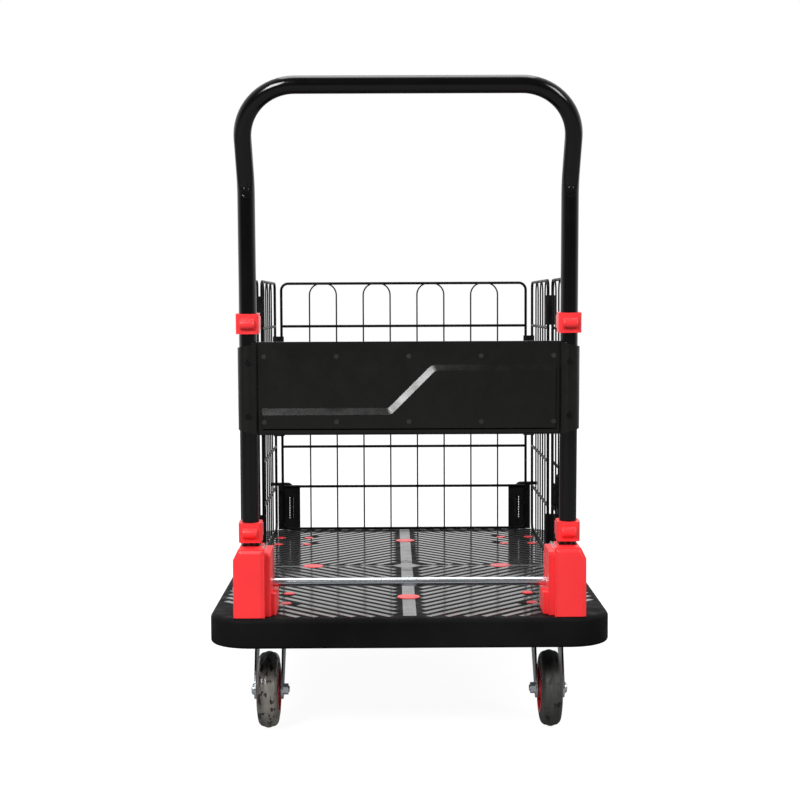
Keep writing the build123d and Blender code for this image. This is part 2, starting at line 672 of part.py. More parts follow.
def middle_bolt_guide():
    face = GUIDE_FRONT_X + GUIDE_THICKNESS
    z0, z1 = MIDDLE_EAR_HEIGHTS[0] - 6, MIDDLE_EAR_HEIGHTS[1] + 9
    guide = block((GUIDE_FRONT_X, face), (MIDDLE_BOLT_Y - 10, LEAF_HINGE_Y + 2), (z0, z1))
    for low in MIDDLE_EAR_HEIGHTS:
        ear = block((face - 0.5, MIDDLE_BOLT_X + 4.5), (MIDDLE_BOLT_Y - 5, MIDDLE_BOLT_Y + 5), (low, low + EAR_THICKNESS))
        guide += ear
    hole_radius = DROP_BOLT_RADIUS + RUNNING
    return guide - bar((MIDDLE_BOLT_X, MIDDLE_BOLT_Y, z0), (MIDDLE_BOLT_X, MIDDLE_BOLT_Y, z1), hole_radius)


def middle_bolt():
    x, y = MIDDLE_BOLT_X, MIDDLE_BOLT_Y
    points = [(x, y, MIDDLE_BOLT_TIP), (x, y, MIDDLE_BOLT_TOP), (x, y - MIDDLE_BOLT_REACH, MIDDLE_BOLT_TOP)]
    return bent_bar(points, 7, DROP_BOLT_RADIUS)


def build_platform():
    save("deck", deck())
    save("deck_strips", *deck_strips())
    save("grip_discs", *grip_discs())
    save("bolt_caps", *bolt_caps())
    save("deck_bolts", *deck_bolts())
    save_pair("bracket_housing", bracket_housing)
    save_pair("bracket_plate", bracket_plate)
    save_pair("bracket_cover", bracket_cover)
    save("pivot_bolts", *both_sides(pivot_bolt()))
    save("release_bar", release_bar())
    save_pair("bar_spring", bar_spring)


def build_casters():
    axle_y = {"near": NEAR_CASTER_Y - CASTER_TRAIL, "far": FAR_CASTER_Y}
    save_pair("swivel_plate", swivel_plate)
    save("king_pins", *both_sides(king_pin()))
    save_pair("swivel_fork", swivel_fork)
    save_pair("rigid_fork", rigid_fork)
    save_pair("near_axle", lambda: axle(axle_y["near"]))
    save("far_axles", *both_sides(*axle(axle_y["far"])))
    for end, y in axle_y.items():
        save_pair(f"{end}_tyre", lambda: tyre(y))
        save_pair(f"{end}_hub", lambda: hub(y))


def build_handle():
    save("handle_tube", handle_tube())
    save("guard_panel", guard_panel())
    save("guard_screws", *guard_screws())
    for level, height in CLIP_HEIGHTS.items():
        save_pair(f"{level}_clip", lambda: leg_clip(height))


def build_fence():
    save("far_panel", far_panel())
    save_pair("corner_hinges", lambda: hinge_straps(PANEL_HALF_WIDTH, FAR_LEAF_X, PANEL_Y, CORNER_HINGE_LOWS))
    save_pair("latch_plate", latch_plate)
    save_pair("drop_bolt", drop_bolt)
    save_pair("drop_bolt_spring", drop_bolt_spring)
    save_pair("far_leaf", lambda: leaf(FAR_LEAF_X, PANEL_Y, 1))
    save_pair("middle_hinges", lambda: hinge_straps(FAR_LEAF_X, NEAR_LEAF_X, LEAF_HINGE_Y, MIDDLE_HINGE_LOWS))
    save_pair("near_leaf", lambda: leaf(NEAR_LEAF_X, LEAF_HINGE_Y, -1))
    save_pair("middle_bolt_guide", middle_bolt_guide)
    save_pair("middle_bolt", middle_bolt)


os.makedirs("parts", exist_ok=True)
build_platform()
build_casters()
build_handle()
build_fence()
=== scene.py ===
import json
from math import cos, pi, radians, sin

import bmesh
import bpy
from mathutils import Matrix, Vector
from mathutils.bvhtree import BVHTree


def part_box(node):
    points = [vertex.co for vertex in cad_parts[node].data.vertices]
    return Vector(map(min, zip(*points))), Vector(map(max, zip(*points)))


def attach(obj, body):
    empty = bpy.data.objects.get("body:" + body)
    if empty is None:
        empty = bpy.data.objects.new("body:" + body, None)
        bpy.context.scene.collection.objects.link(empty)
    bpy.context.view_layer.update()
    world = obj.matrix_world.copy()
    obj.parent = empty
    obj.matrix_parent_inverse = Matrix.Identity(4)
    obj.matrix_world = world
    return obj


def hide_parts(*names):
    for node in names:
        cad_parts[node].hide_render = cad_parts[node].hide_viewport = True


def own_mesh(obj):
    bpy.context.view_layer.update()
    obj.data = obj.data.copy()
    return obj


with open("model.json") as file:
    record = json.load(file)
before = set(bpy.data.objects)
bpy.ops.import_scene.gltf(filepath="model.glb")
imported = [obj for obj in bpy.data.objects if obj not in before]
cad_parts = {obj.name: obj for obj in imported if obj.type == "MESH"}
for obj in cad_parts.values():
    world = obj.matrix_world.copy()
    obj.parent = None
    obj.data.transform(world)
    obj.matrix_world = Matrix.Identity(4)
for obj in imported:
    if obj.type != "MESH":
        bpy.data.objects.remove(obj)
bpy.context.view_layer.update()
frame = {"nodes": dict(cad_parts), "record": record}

MM = 0.001
SIDES = {"left": -1, "right": 1}


# Camera, solved from the photograph; the angles are in radians

CAMERA_PLACE = (-0.0231, -2.388, 0.5564)
CAMERA_LENS = 72
CAMERA_SENSOR = 36
CAMERA_YAW = 0.0059
CAMERA_PITCH = 0.0600
CAMERA_ROLL = -0.0042


def make_camera():
    data = bpy.data.cameras.new("camera")
    data.lens = CAMERA_LENS
    data.sensor_width = CAMERA_SENSOR
    camera = bpy.data.objects.new("camera", data)
    yaw, pitch, roll = CAMERA_YAW, CAMERA_PITCH, CAMERA_ROLL
    forward = Vector((sin(yaw) * cos(pitch), cos(yaw) * cos(pitch), -sin(pitch)))
    right = Vector((cos(yaw), -sin(yaw), 0))
    up = right.cross(forward)
    tilted_right = right * cos(roll) + up * sin(roll)
    tilted_up = up * cos(roll) - right * sin(roll)
    turn = Matrix((tilted_right, tilted_up, -forward)).transposed().to_4x4()
    camera.matrix_world = Matrix.Translation(CAMERA_PLACE) @ turn
    bpy.context.scene.collection.objects.link(camera)
    bpy.context.scene.camera = camera


# Materials

NOISE_LOW, NOISE_HIGH = 0.3, 0.7
PATCH_SCALE = 14
SMEAR_SCALE = 45
SMEAR_GLOSSIEST, SMEAR_DULLEST = 0.8, 1.25
GRAIN_STRENGTH = 0.35
DUST_LOW, DUST_HIGH = 0.36, 0.62
SCUFF_EDGE = 0.02
SCUFF_DARKNESS = 0.9


class Nodes:
    """A node tree with the few calls that the materials share."""

    def __init__(self, name):
        self.material = bpy.data.materials.new(name)
        self.material.use_nodes = True
        self.tree = self.material.node_tree
        self.shader = self.tree.nodes["Principled BSDF"]
        self.place = self.add("ShaderNodeTexCoord").outputs["Object"]

    def add(self, kind, **values):
        node = self.tree.nodes.new(kind)
        for key, value in values.items():
            setattr(node, key, value)
        return node

    def link(self, output, target):
        self.tree.links.new(output, target)

    def noise(self, scale, detail=4, stretch=(1, 1, 1)):
        mapping = self.add("ShaderNodeMapping")
        mapping.inputs["Scale"].default_value = stretch
        self.link(self.place, mapping.inputs["Vector"])
        node = self.add("ShaderNodeTexNoise")
        node.inputs["Scale"].default_value = scale
        node.inputs["Detail"].default_value = detail
        self.link(mapping.outputs["Vector"], node.inputs["Vector"])
        return node.outputs["Fac"]

    def ramp(self, factor, stops):
        node = self.add("ShaderNodeValToRGB")
        ramp = node.color_ramp
        while len(ramp.elements) < len(stops):
            ramp.elements.new(0.5)
        for element, (place, colour) in zip(ramp.elements, stops):
            element.position = place
            element.color = (*colour, 1)
        self.link(factor, node.inputs["Fac"])
        return node.outputs["Color"]

    def spread(self, factor, low, high):
        node = self.add("ShaderNodeMapRange")
        node.inputs["From Min"].default_value = NOISE_LOW
        node.inputs["From Max"].default_value = NOISE_HIGH
        node.inputs["To Min"].default_value = low
        node.inputs["To Max"].default_value = high
        self.link(factor, node.inputs["Value"])
        return node.outputs["Result"]

    def bump(self, height, strength, distance):
        node = self.add("ShaderNodeBump")
        node.inputs["Strength"].default_value = strength
        node.inputs["Distance"].default_value = distance
        self.link(height, node.inputs["Height"])
        self.link(node.outputs["Normal"], self.shader.inputs["Normal"])

    def set(self, **values):
        for key, value in values.items():
            self.shader.inputs[key.replace("_", " ")].default_value = value


def shade(colour, factor):
    return tuple(min(1, part * factor) for part in colour)


def finish_material(
    name, colour, rough, grain, grain_depth, patch=0.12, metal=0.0, stretch=(1, 1, 1), shine=0.5
):
    """A moulded, painted or plated finish: patchy colour and gloss, and a fine grain in the surface."""
    nodes = Nodes(name)
    patches = nodes.noise(PATCH_SCALE, 5, stretch)
    pale, dark = shade(colour, 1 + patch), shade(colour, 1 - patch)
    tint = nodes.ramp(patches, [(NOISE_LOW, dark), (NOISE_HIGH, pale)])
    nodes.link(tint, nodes.shader.inputs["Base Color"])
    smears = nodes.noise(SMEAR_SCALE, 6, stretch)
    gloss = nodes.spread(smears, rough * SMEAR_GLOSSIEST, rough * SMEAR_DULLEST)
    nodes.link(gloss, nodes.shader.inputs["Roughness"])
    nodes.bump(nodes.noise(grain, 3, stretch), GRAIN_STRENGTH, grain_depth)
    nodes.set(Metallic=metal, Specular_IOR_Level=shine)
    return nodes.material


def rubber_material(name, dark, pale, scuff, gloss):
    """Rubber that is dusty in patches, with thin dark scuffs; scuff is how much of it they cover."""
    nodes = Nodes(name)
    dust = nodes.noise(26, 8, (1.8, 0.8, 0.8))
    tint = nodes.ramp(dust, [(DUST_LOW, dark), (DUST_HIGH, pale)])
    cracks = nodes.noise(120, 9, (1.4, 0.7, 0.7))
    mask = nodes.ramp(cracks, [(scuff, (0, 0, 0)), (scuff + SCUFF_EDGE, (1, 1, 1))])
    mix = nodes.add("ShaderNodeMix", data_type="RGBA", blend_type="MULTIPLY")
    mix.inputs["Factor"].default_value = SCUFF_DARKNESS
    nodes.link(tint, mix.inputs[6])
    nodes.link(mask, mix.inputs[7])
    nodes.link(mix.outputs[2], nodes.shader.inputs["Base Color"])
    nodes.link(nodes.spread(nodes.noise(70, 6), *gloss), nodes.shader.inputs["Roughness"])
    nodes.bump(nodes.noise(480, 5), 0.45, 0.0004)
    return nodes.material


def make_materials():
    return {
        "deck": finish_material(
            "deck_plastic", (0.007, 0.007, 0.0073), 0.6, 900, 0.00015, 0.3, shine=0.03),
        "ribs": finish_material(
            "rib_plastic", (0.012, 0.012, 0.0123), 0.11, 300, 0.00002, 0.2, shine=0.75),
        "strip": finish_material(
            "strip_plastic", (0.15, 0.15, 0.153), 0.32, 500, 0.00006, 0.08, shine=0.3),
        # Near-black painted shade for the slots beside the bolt caps and the grooves across the strip, which
        # are drawn as flat marks instead of recesses
        "slot": finish_material("painted_slot_shade", (0.003, 0.003, 0.003), 0.6, 700, 0.0001, shine=0.02),
        "red": finish_material("red_plastic", (0.93, 0.034, 0.039), 0.34, 1100, 0.00006, 0.05, shine=0.45),
        "disc": finish_material("disc_plastic", (0.62, 0.02, 0.03), 0.3, 600, 0.0002, 0.18),
        "tube": finish_material(
            "tube_paint", (0.0015, 0.0015, 0.0016), 0.14, 260, 0.00003, 0.2, shine=0.38),
        "fence": finish_material("fence_paint", (0.002, 0.002, 0.0021), 0.38, 800, 0.00004, 0.2, shine=0.10),
        "steel": finish_material("black_steel", (0.003, 0.003, 0.003), 0.36, 900, 0.00008, 0.3, shine=0.2),
        "guard": finish_material(
            "guard_plastic", (0.0048, 0.0048, 0.0043), 0.26, 1500, 0.00004, 0.15, shine=0.42),
        "mark": finish_material("mark_plastic", (0.022, 0.022, 0.021), 0.45, 1500, 0.00005, 0.2, shine=0.3),
        "zinc": finish_material(
            "zinc_plate", (0.74, 0.79, 0.84), 0.22, 420, 0.00006, 0.1, 1.0, stretch=(0.15, 1, 1)),
        "worn_rubber": rubber_material(
            "worn_rubber", (0.055, 0.052, 0.046), (0.24, 0.225, 0.2), 0.42, (0.18, 0.4)),
        "rubber": rubber_material(
            "grey_rubber", (0.018, 0.018, 0.017), (0.05, 0.05, 0.045), 0.36, (0.4, 0.65)),
    }


NODE_FINISH = {
    "deck": "deck", "deck_strips": "strip", "grip_discs": "disc", "bolt_caps": "disc", "deck_bolts": "zinc",
    "bracket_housing": "red", "bracket_cover": "red", "bracket_plate": "zinc", "pivot_bolts": "zinc",
    "release_bar": "zinc", "bar_spring": "zinc", "swivel_plate": "zinc", "king_pins": "zinc",
    "swivel_fork": "zinc", "rigid_fork": "zinc", "near_axle": "zinc", "far_axles": "zinc",
    "near_tyre": "rubber", "far_tyre": "rubber", "near_hub": "disc", "far_hub": "disc",
    "handle_tube": "tube", "guard_panel": "guard", "guard_screws": "steel", "lower_clip": "red",
    "upper_clip": "red", "far_panel": "fence", "corner_hinges": "steel", "latch_plate": "steel",
    "drop_bolt": "steel", "drop_bolt_spring": "steel", "far_leaf": "fence", "middle_hinges": "steel",
    "near_leaf": "fence", "middle_bolt_guide": "steel", "middle_bolt": "steel",
}


def family(node):
    """A node's name without its side."""
    return node.removesuffix("_left").removesuffix("_right")


def finish_for(node):
    if node == "near_tyre_left":
        return MATERIALS["worn_rubber"]
    return MATERIALS[NODE_FINISH[family(node)]]


def body_with(node):
    for body, nodes in frame["record"]["behaviour"]["bodies"].items():
        if node in nodes:
            return body
    raise KeyError(node)


def dress(obj, material):
    obj.data.materials.clear()
    obj.data.materials.append(material)


def dress_nodes():
    for node, obj in frame["nodes"].items():
        for place in obj.material_slots:
            place.material = finish_for(node)


# Pieces

def new_piece(name, bm, material, body, sharp=40):
    """Turns a bmesh into a shaded piece that rides on a body."""
    mesh = bpy.data.meshes.new(name)
    bmesh.ops.recalc_face_normals(bm, faces=bm.faces[:])
    bm.to_mesh(mesh)
    bm.free()
    for face in mesh.polygons:
        face.use_smooth = True
    mesh.set_sharp_from_angle(angle=radians(sharp))
    obj = bpy.data.objects.new(name, mesh)
    bpy.context.scene.collection.objects.link(obj)
    dress(obj, material)
    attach(obj, body)
    return obj


def round_edges(piece, width, segments, angle):
    bevel = piece.modifiers.new("rounded", "BEVEL")
    bevel.width = width
    bevel.segments = segments
    bevel.limit_method = "ANGLE"
    bevel.angle_limit = radians(angle)
    bevel.use_clamp_overlap = True
    bevel.harden_normals = True


def node_mesh(node):
    """A CAD node's mesh in the row frame."""
    source = frame["nodes"][node]
    bm = bmesh.new()
    bm.from_mesh(source.data)
    bm.transform(source.matrix_world)
    return bm


def softened(node, width, segments=3):
    """A copy of a CAD node with its sharp edges rounded, which stands for it."""
    bm = node_mesh(node)
    bmesh.ops.remove_doubles(bm, verts=bm.verts[:], dist=1e-6)
    bmesh.ops.dissolve_limit(bm, angle_limit=radians(1), verts=bm.verts[:], edges=bm.edges[:])
    piece = new_piece("soft_" + node, bm, finish_for(node), body_with(node))
    round_edges(piece, width, segments, 38)
    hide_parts(node)
    return piece


def arc_angles(count):
    return [2 * pi * i / count for i in range(count)]


def prism(bm, outline, depth, tip_outline=None):
    """Adds a closed prism from an outline, a list of points, to the same outline moved by depth."""
    tips = tip_outline or outline
    low = [bm.verts.new(Vector(point)) for point in outline]
    high = [bm.verts.new(Vector(point) + Vector(depth)) for point in tips]
    bm.faces.new(low[::-1])
    bm.faces.new(high)
    count = len(low)
    for i in range(count):
        j = (i + 1) % count
        bm.faces.new((low[i], low[j], high[j], high[i]))


# Deck ribs: parallel bars that make diamonds about the middle of the deck

DECK_TOP = 0.163
RIB_WIDTH = 9.6 * MM
RIB_TOP_WIDTH = 8.2 * MM
RIB_HEIGHT = 0.8 * MM
RIB_SINK = 0.3 * MM
RIB_PITCH = 23.6 * MM
RIB_FIRST = 27.6 * MM
RIB_RATIO = 1.1
RIB_STEP = 2 * MM
FIELD_X = 0.243
FIELD_Y = 0.396
FIELD_CORNER = 0.043
RIB_SHORTEST = 9 * MM
LONG_STRIP_CLEAR = 0.0165
CROSS_STRIP_CLEAR = 0.006
BRACKET_CLEAR_X = 0.1675
BRACKET_CLEAR_Y = -0.314
DISC_RADIUS = 15.5 * MM
DISC_CLEAR = 19 * MM
CAP_RADIUS = 7.5 * MM
CAP_CLEAR = 9 * MM
CASTER_BOLTS_APART = (46 * MM, 72 * MM)
CAP_SLOT = (9 * MM, 4.5 * MM)
CAP_SLOT_OFFSET = (7.5 * MM, 13 * MM)
CAP_SLOT_CLEAR = 5.5 * MM
CAP_SLOT_SHIFTS = (-4.5 * MM, 0, 4.5 * MM)
MIDDLE_BOLT_IN = 3 * MM
DROP_BOLT_IN = 5 * MM
BOLT_HOLE_CLEAR = 7 * MM


def disc_places():
    low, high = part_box("grip_discs")
    return [
        (0, low[1] + DISC_RADIUS), (0, high[1] - DISC_RADIUS),
        (low[0] + DISC_RADIUS, 0), (high[0] - DISC_RADIUS, 0),
    ]


def cap_places():
    low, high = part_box("bolt_caps")
    across, along = CASTER_BOLTS_APART
    outer, near, far = high[0] - CAP_RADIUS, low[1] + CAP_RADIUS, high[1] - CAP_RADIUS
    xs = [outer, outer - across]
    ys = [near, near + along, far, far - along]
    return [(side * x, y) for side in SIDES.values() for x in xs for y in ys]


def bolt_hole_places():
    """Where the bolts of the fence drop into the deck."""
    places = []
    for name, side in SIDES.items():
        low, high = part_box(f"middle_bolt_{name}")
        places.append(((low[0] + high[0]) / 2, high[1] - MIDDLE_BOLT_IN))
        low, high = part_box(f"drop_bolt_{name}")
        inner = low[0] if side > 0 else high[0]
        places.append((inner + side * DROP_BOLT_IN, (low[1] + high[1]) / 2))
    return places


def cap_slots():
    """The middles of the dark slots beside the inboard bolt caps."""
    inboard = min(abs(x) for x, y in cap_places())
    return [
        (x - CAP_SLOT_OFFSET[0] * (1 if x > 0 else -1), y + CAP_SLOT_OFFSET[1] * (1 if y > 0 else -1))
        for x, y in cap_places() if abs(x) < inboard + 1 * MM
    ]


def in_field(x, y):
    inner_x, inner_y = FIELD_X - FIELD_CORNER, FIELD_Y - FIELD_CORNER
    over_x, over_y = max(0, abs(x) - inner_x), max(0, abs(y) - inner_y)
    return over_x ** 2 + over_y ** 2 < FIELD_CORNER ** 2


def rib_is_clear(x, y, round_places):
    if not in_field(x, y) or abs(x) < LONG_STRIP_CLEAR or abs(y) < CROSS_STRIP_CLEAR:
        return False
    if any((x - a) ** 2 + (y - b) ** 2 < reach ** 2 for a, b, reach in round_places):
        return False
    return not (abs(x) > BRACKET_CLEAR_X and y < BRACKET_CLEAR_Y)


def add_rib(bm, start, end, top):
    run = (end - start).normalized()
    side = Vector((-run.y, run.x, 0))
    half, half_top = RIB_WIDTH / 2, RIB_TOP_WIDTH / 2
    inset = run * (RIB_WIDTH - RIB_TOP_WIDTH) / 2
    base = [start - side * half, end - side * half, end + side * half, start + side * half]
    crown = [
        start + inset - side * half_top, end - inset - side * half_top,
        end - inset + side * half_top, start + inset + side * half_top,
    ]
    sunk = Vector((0, 0, top - RIB_SINK))
    prism(bm, [p + sunk for p in base], (0, 0, RIB_HEIGHT + RIB_SINK), [p + sunk for p in crown])


def clear_runs(start, end, round_places):
    """The stretches of a line from start to end that are clear for a rib."""
    steps = int((end - start).length / RIB_STEP)
    runs = []
    first = last = None
    for i in range(steps + 1):
        spot = start.lerp(end, i / steps)
        if rib_is_clear(spot.x, spot.y, round_places):
            first = first or spot
            last = spot
            if i < steps:
                continue
        if first and (last - first).length > RIB_SHORTEST:
            runs.append((first, last))
        first = None
    return runs


def make_ribs():
    round_places = [(x, y, DISC_CLEAR) for x, y in disc_places()]
    round_places += [(x, y, CAP_CLEAR) for x, y in cap_places()]
    round_places += [(x + shift, y, CAP_SLOT_CLEAR) for x, y in cap_slots() for shift in CAP_SLOT_SHIFTS]
    round_places += [(x, y, BOLT_HOLE_CLEAR) for x, y in bolt_hole_places()]
    bm = bmesh.new()
    count = int((FIELD_X + FIELD_Y / RIB_RATIO) / RIB_PITCH) + 1
    for sx in SIDES.values():
        for sy in SIDES.values():
            for k in range(count):
                reach = RIB_FIRST + k * RIB_PITCH
                start = Vector((sx * reach, 0, 0))
                end = Vector((0, sy * reach * RIB_RATIO, 0))
                for run in clear_runs(start, end, round_places):
                    add_rib(bm, *run, DECK_TOP)
    return new_piece("deck_ribs", bm, MATERIALS["ribs"], "platform", 30)


# Flat marks on the deck: a pale rhombus, and painted shade standing in for the slots and grooves

MARK_DEPTH = 0.5 * MM
CAP_SLOT_PROUD = 0.25 * MM
RHOMBUS_REACH = 0.0225
RHOMBUS_PROUD = 0.45 * MM
STRIP_MARK_PROUD = 0.3 * MM
STRIP_MARK_HALF = 9 * MM
CHEVRON_PLACES = (0.034, 0.046)
CHEVRON_THICK = 2.2 * MM
CHEVRON_SLOPE = 0.8
BAR_PLACES = (0.262, 0.272)
BAR_THICK = 0.0025


def flat_mark(bm, outline, top):
    prism(bm, [(x, y, top) for x, y in outline], (0, 0, -MARK_DEPTH))


def make_cap_slot_shades():
    """Lens-shaped slots beside the inboard bolt caps, drawn as flat marks in near-black painted shade."""
    bm = bmesh.new()
    length, width = CAP_SLOT
    for x, y in cap_slots():
        outline = [(x + length * cos(a), y + width * sin(a) * abs(sin(a))) for a in arc_angles(28)]
        flat_mark(bm, outline, DECK_TOP + CAP_SLOT_PROUD)
    # The piece is a flat sheet of painted shade where the slots sink into the deck
    return new_piece("cap_slots", bm, MATERIALS["slot"], "platform", 30)


def make_strip_rhombus():
    """The pale rhombus where the strips cross."""
    bm = bmesh.new()
    x, y = RHOMBUS_REACH, RHOMBUS_REACH * RIB_RATIO
    flat_mark(bm, [(x, 0), (0, y), (-x, 0), (0, -y)], DECK_TOP + RHOMBUS_PROUD)
    return new_piece("strip_rhombus", bm, MATERIALS["strip"], "platform", 30)


def make_strip_marks():
    """Grooves across the long strip, chevrons by the middle and bars by the discs, drawn as flat marks in
    near-black painted shade.
    """
    bm = bmesh.new()
    half, thick = STRIP_MARK_HALF, CHEVRON_THICK
    top = DECK_TOP + STRIP_MARK_PROUD
    for side in SIDES.values():
        for y in CHEVRON_PLACES:
            tip, arm = side * y, side * (y - half * RIB_RATIO * CHEVRON_SLOPE)
            for end in SIDES.values():
                foot = [(0, tip), (end * half, arm)]
                flat_mark(bm, foot + [(x, y_foot + side * thick) for x, y_foot in reversed(foot)], top)
        for y in BAR_PLACES:
            near, far = side * y, side * (y + BAR_THICK)
            flat_mark(bm, [(-half, near), (half, near), (half, far), (-half, far)], top)
    # The piece is flat marks of painted shade where the grooves sink into the strip
    return new_piece("strip_groove_shades", bm, MATERIALS["slot"], "platform", 30)


# Guard panel relief, in the leaning plane of the handle

PIVOT = Vector((0, -0.357, 0.190))
LEAN = radians(2.8)
GUARD_FRONT = 5.5 * MM
GUARD_MIDDLE = 0.261
RELIEF = 3.6 * MM
RELIEF_SINK = 0.4 * MM
FIELD_HALF = 0.1845
LIP_TOP, LIP_BOTTOM = -0.0525, -0.0568
LIP_PROUD = 1.2 * MM
LIP_SLOPE = 1 * MM
MARK_ROWS = ((0.0405, 0), (-0.0421, RELIEF))
MARKS_IN_ROW = 5
MARK_PITCH = 0.0912
MARK_RADIUS = 3 * MM
MARK_PROUD = 0.15 * MM
MARK_THICK = 0.6 * MM


def on_guard(x, height, proud=0.0):
    """A point on the guard's front face: height is from the guard's middle line."""
    along = GUARD_MIDDLE + height
    out = GUARD_FRONT + proud
    return PIVOT + Vector((x, -out * cos(LEAN) - along * sin(LEAN), along * cos(LEAN) - out * sin(LEAN)))


def plateau(bm, outline, slopes, proud):
    """A raised flat field on the guard: slopes gives each point's shift to the foot of the sloping side."""
    foot = [bm.verts.new(on_guard(x + dx, h + dh, -RELIEF_SINK)) for (x, h), (dx, dh) in zip(outline, slopes)]
    crown = [bm.verts.new(on_guard(x, h, proud)) for x, h in outline]
    bm.faces.new(crown)
    bm.faces.new(foot[::-1])
    count = len(foot)
    for i in range(count):
        j = (i + 1) % count
        bm.faces.new((foot[i], foot[j], crown[j], crown[i]))


def make_guard_relief():
    """The raised lower field, whose upper edge slopes up from the left to the right, and the bottom lip."""
    left, right, low = -FIELD_HALF, FIELD_HALF, -0.0505
    crown = [
        (left, low), (right, low), (right, 0.0225), (0.0365, 0.0225), (0.0335, 0.0219), (0.0308, 0.0200),
        (-0.0185, -0.0292), (-0.0215, -0.0318), (-0.0255, -0.0333), (left, -0.0333),
    ]
    shifts = [
        (-0.001, -0.002), (0.001, -0.002), (0.001, 0.0075), (-0.0035, 0.0075), (-0.0050, 0.0070),
        (-0.0062, 0.0062), (-0.0064, 0.0062), (-0.0052, 0.0076), (-0.0038, 0.0092), (-0.001, 0.0092),
    ]
    bm = bmesh.new()
    plateau(bm, crown, shifts, RELIEF)
    lip = [(left, LIP_TOP), (left, LIP_BOTTOM), (right, LIP_BOTTOM), (right, LIP_TOP)]
    plateau(bm, lip, [(0, LIP_SLOPE), (0, -LIP_SLOPE), (0, -LIP_SLOPE), (0, LIP_SLOPE)], LIP_PROUD)
    return new_piece("guard_relief", bm, MATERIALS["guard"], "handle", 12)


def make_guard_marks():
    """Small round moulding marks in a row near the top and bottom of the guard."""
    bm = bmesh.new()
    for height, face in MARK_ROWS:
        for step in range(MARKS_IN_ROW):
            x = (step - MARKS_IN_ROW // 2) * MARK_PITCH
            ring = [
                on_guard(x + MARK_RADIUS * cos(a), height + MARK_RADIUS * sin(a), face + MARK_PROUD)
                for a in arc_angles(20)
            ]
            prism(bm, ring, (0, MARK_THICK, 0))
    return new_piece("guard_marks", bm, MATERIALS["mark"], "handle", 30)


# Raised pads on the front of the brackets

PAD_PROUD = 2.4 * MM
PAD_FLANK = 5 * MM
PAD_SINK = 0.1 * MM
PAD_INSET = 0.6 * MM
PAD_TOP_INSET = 0.8 * MM
PAD_CORNER = (7 * MM, 14 * MM)
PAD_ROUNDING = 1.6 * MM


def make_bracket_pads():
    for name, side in SIDES.items():
        low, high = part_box(f"bracket_housing_{name}")
        inner, outer = (low[0], high[0]) if side > 0 else (high[0], low[0])
        front, bottom, top = low[1] + PAD_SINK, low[2], high[2]
        inner += side * PAD_INSET
        outer -= side * PAD_INSET
        slope, drop = side * PAD_CORNER[0], PAD_CORNER[1]
        foot = [
            (inner, bottom), (outer, bottom), (outer, top - drop),
            (outer - slope, top - PAD_TOP_INSET), (inner, top - PAD_TOP_INSET),
        ]
        flank = side * PAD_FLANK
        crown = [
            (inner + flank * 0.8, bottom), (outer - flank, bottom), (outer - flank, top - drop - 2 * MM),
            (outer - slope - flank * 0.5, top - PAD_FLANK), (inner + flank * 0.8, top - PAD_FLANK),
        ]
        bm = bmesh.new()
        base = [(x, front, z) for x, z in foot]
        tips = [(x, front, z) for x, z in crown]
        prism(bm, base, (0, -PAD_PROUD, 0), tips)
        piece = new_piece(f"bracket_pad_{name}", bm, MATERIALS["red"], "platform", 60)
        round_edges(piece, PAD_ROUNDING, 4, 12)


# Press marks on the front of the handle tube, at both ends of its bend

PRESS_X = 0.202
# Each: its shift along X in mm, its height in m, then half its width, half its height and its rise in mm
PRESS_MARKS = (
    (0, 0.718, 5.0, 3.6, 0.35),
    (0, 0.6945, 5.4, 5.0, 0.6),
    (-3.6, 0.7035, 1.3, 1.3, 0.3),
    (3.2, 0.7035, 1.3, 1.3, 0.3),
)
RIM_OUTSIDE, RIM_INSIDE = 1.28, 0.72
RIM_SINK = 0.1


def front_finder(node):
    """Finds the point of a node's surface that faces the handle end at x, z."""
    bm = node_mesh(node)
    tree = BVHTree.FromBMesh(bm)
    bm.free()
    return lambda x, z: tree.ray_cast(Vector((x, -2, z)), Vector((0, 1, 0)))[0]


def add_dimple_rim(bm, front, x, z, wide, high, swell):
    """A low rounded rim that follows the surface round an oval."""
    rings = []
    for angle in arc_angles(28):
        ring = []
        for grow, lift in ((RIM_OUTSIDE, -RIM_SINK), (1.0, swell), (RIM_INSIDE, -RIM_SINK)):
            spot = front(x + wide * grow * cos(angle), z + high * grow * sin(angle))
            ring.append(bm.verts.new(spot + Vector((0, -lift * MM, 0))))
        rings.append(ring)
    for i, ring in enumerate(rings):
        after = rings[(i + 1) % len(rings)]
        for j in range(3):
            k = (j + 1) % 3
            bm.faces.new((ring[j], after[j], after[k], ring[k]))


def make_press_marks():
    front = front_finder("handle_tube")
    bm = bmesh.new()
    for side in SIDES.values():
        for shift, height, wide, high, swell in PRESS_MARKS:
            add_dimple_rim(bm, front, side * PRESS_X + shift * MM, height, wide * MM, high * MM, swell)
    return new_piece("press_marks", bm, MATERIALS["tube"], "handle", 60)


# Tyres, turned from a rounded profile

HUB_RADIUS = 33.02 * MM
SHOULDER = 8.5 * MM
TREAD_CROWN = 1.6 * MM
BEAD_STEP = 0.8 * MM
PROFILE_STEPS = 8


def lathe(name, profile, centre, material, body, segments=96):
    """Turns a closed profile of (along X, radius) points about a line along X."""
    bm = bmesh.new()
    rings = []
    for angle in arc_angles(segments):
        ring = [
            bm.verts.new((centre[0] + x, centre[1] + r * sin(angle), centre[2] + r * cos(angle)))
            for x, r in profile
        ]
        rings.append(ring)
    count = len(profile)
    for i in range(segments):
        a, b = rings[i], rings[(i + 1) % segments]
        for j in range(count):
            k = (j + 1) % count
            bm.faces.new((a[j], a[k], b[k], b[j]))
    return new_piece(name, bm, material, body, 35)


